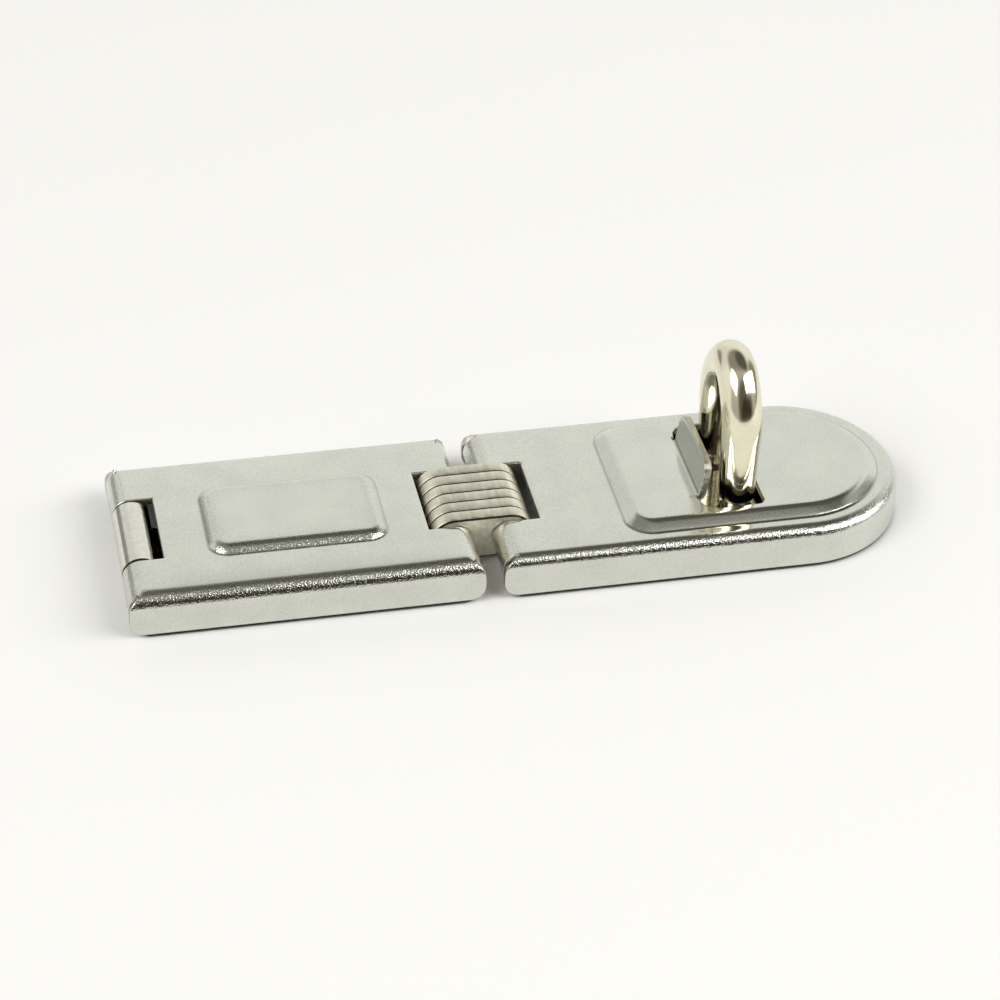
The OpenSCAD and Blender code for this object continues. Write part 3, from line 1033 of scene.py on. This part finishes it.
def dress_node(node, material, round_edges):
    """Keeps a CAD node, with eased edges and its material."""
    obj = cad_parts[node]
    obj.data.materials.clear()
    obj.data.materials.append(material)
    bevel = obj.modifiers.new("eased_edges", "BEVEL")
    bevel.width = round_edges * MM
    bevel.segments = EDGE_STEPS
    bevel.limit_method = "ANGLE"
    bevel.angle_limit = EDGE_ANGLE


use_piece(cover_leaf(), "cover", "cover_leaf", "zinc_leaf")
use_piece(hasp_leaf(), "hasp", "hasp_leaf", "zinc_leaf")
use_piece(staple(), "staple", "staple", "nickel_staple")
for number in range(1, LINK_COUNT + 1):
    link_node = f"link_plate_{number}"
    use_piece(link_plate(link_node), "links", link_node, "link_steel")
# A darker copy of the plate finish for the staple's pad: painted shade for the dark inside of the slot
pad_shade_material = plate_material("plate_painted_shade", (0.30, 0.285, 0.245, 1), (0.36, 0.345, 0.30, 1))
dress_node("base_plate", materials["plated_plate"], round_edges=0.2)
dress_node("staple_plate", pad_shade_material, round_edges=0.25)
for pin in ("base_hinge_pin", "cover_link_pin", "hasp_link_pin"):
    dress_node(pin, materials["pin_steel"], round_edges=0.1)


# ---------- studio ----------

# The floor lies a little below the part, in millimetres; the rest of the studio is in metres
FLOOR_GAP = 0.5
FLOOR_HALF = 4.0
SOFTBOX_DISTANCE = 3.0


def floor():
    mesh = bmesh.new()
    bmesh.ops.create_grid(mesh, x_segments=1, y_segments=1, size=FLOOR_HALF)
    bmesh.ops.translate(mesh, vec=(0, 0, -FLOOR_GAP * MM), verts=mesh.verts)
    obj = finish_mesh("floor", mesh)
    obj.data.materials.append(floor_material())


def softbox(name, toward, along, width, height, radiance):
    """A rectangular light in a direction from the part, long side along the given direction."""
    away = Vector(toward).normalized()
    side = Vector(along)
    side = (side - away * side.dot(away)).normalized()
    light = bpy.data.lights.new(name, "AREA")
    light.shape = "RECTANGLE"
    light.size = width
    light.size_y = height
    light.energy = radiance * math.pi * width * height
    obj = bpy.data.objects.new(name, light)
    turn = Matrix((side, away.cross(side), away)).transposed().to_4x4()
    obj.matrix_world = Matrix.Translation(away * SOFTBOX_DISTANCE) @ turn
    bpy.context.scene.collection.objects.link(obj)


def studio_world():
    """A pale sweep at the back, a wall on the right, a dim room in front and a grey ceiling with a beam."""
    world = bpy.data.worlds.new("studio")
    bpy.context.scene.world = world
    world.use_nodes = True
    n = Nodes(world.node_tree)
    direction = n.coordinates["Generated"]
    split = n.add("ShaderNodeSeparateXYZ", Vector=direction).outputs

    def near(centre, outer, inner):
        """1 within inner degrees of a direction, 0 beyond outer degrees."""
        dot = n.add("ShaderNodeVectorMath", {"operation": "DOT_PRODUCT"})
        n.plug(dot.inputs[0], direction)
        n.plug(dot.inputs[1], Vector(centre).normalized())
        return n.ramp(dot.outputs["Value"], math.cos(math.radians(outer)), math.cos(math.radians(inner)))

    # The room in front: dim, and darkest low down
    room = (0.12, 0.11, 0.095, 1)
    room_low = (0.045, 0.036, 0.025, 1)
    room_sides = (0.50, 0.49, 0.46, 1)
    front = n.mix(near((0.16, -0.93, 0.32), 48, 30), room_sides, room)
    front = n.mix(near((0.21, -0.96, 0.14), 32, 20), front, room_low)

    # The sweep behind: duller at the back left, with a grey skirting there and a wall on the right
    sweep = (0.98, 0.98, 0.95, 1)
    side_sweep = (0.84, 0.84, 0.82, 1)
    skirting = (0.34, 0.34, 0.33, 1)
    side_wall = (0.30, 0.29, 0.27, 1)
    back = n.mix(near((-0.60, 0.75, 0.36), 34, 20), sweep, side_sweep)
    back = n.mix(near((-0.62, 0.78, 0.03), 20, 10), back, skirting)
    back = n.mix(near((0.94, -0.02, 0.22), 34, 22), back, side_wall)

    # The ceiling, which reaches forward only as far as the room in front
    ceiling = (0.30, 0.29, 0.265, 1)
    beam = (0.11, 0.105, 0.09, 1)
    above = n.mix(near((0.38, 0.22, 0.90), 34, 16), ceiling, beam)

    in_front = n.ramp(split["Y"], -0.12, -0.40)
    overhead = n.ramp(split["Z"], 0.598, 0.77, curve="LINEAR")
    walls = n.mix(in_front, back, front)
    upper = n.mix(in_front, above, front)
    background = n.tree.nodes["Background"]
    n.plug(background.inputs["Color"], n.mix(overhead, walls, upper))


CAMERA_PLACE = Vector((-0.1135, -0.4926, 0.3760))
CAMERA_AZIMUTH = math.radians(12.70)
CAMERA_DIP = math.radians(36.16)
CAMERA_ROLL = math.radians(1.75)
CAMERA_LENS = 115.2
CAMERA_SENSOR = 36


def camera():
    forward = Vector((
        math.sin(CAMERA_AZIMUTH) * math.cos(CAMERA_DIP),
        math.cos(CAMERA_AZIMUTH) * math.cos(CAMERA_DIP),
        -math.sin(CAMERA_DIP),
    ))
    level = Vector((math.cos(CAMERA_AZIMUTH), -math.sin(CAMERA_AZIMUTH), 0))
    upright = level.cross(forward)
    right = math.cos(CAMERA_ROLL) * level + math.sin(CAMERA_ROLL) * upright
    up = math.cos(CAMERA_ROLL) * upright - math.sin(CAMERA_ROLL) * level
    turn = Matrix((right, up, -forward)).transposed().to_4x4()
    data = bpy.data.cameras.new("camera")
    data.lens = CAMERA_LENS
    data.sensor_width = CAMERA_SENSOR
    data.clip_start = 0.02
    data.clip_end = 20
    obj = bpy.data.objects.new("camera", data)
    obj.matrix_world = Matrix.Translation(CAMERA_PLACE) @ turn
    bpy.context.scene.collection.objects.link(obj)
    bpy.context.scene.camera = obj


floor()
studio_world()
softbox(
    "key_right",
    toward=(0.720, -0.361, 0.603),
    along=(0.67, 0.58, -0.453),
    width=3.33,
    height=1.2,
    radiance=4.9,
)
softbox(
    "key_left",
    toward=(-0.62, -0.35, 0.70),
    along=(-0.5, 0.86, 0),
    width=1.6,
    height=1.4,
    radiance=4.9,
)
camera()
bpy.context.scene.view_settings.view_transform = "Standard"
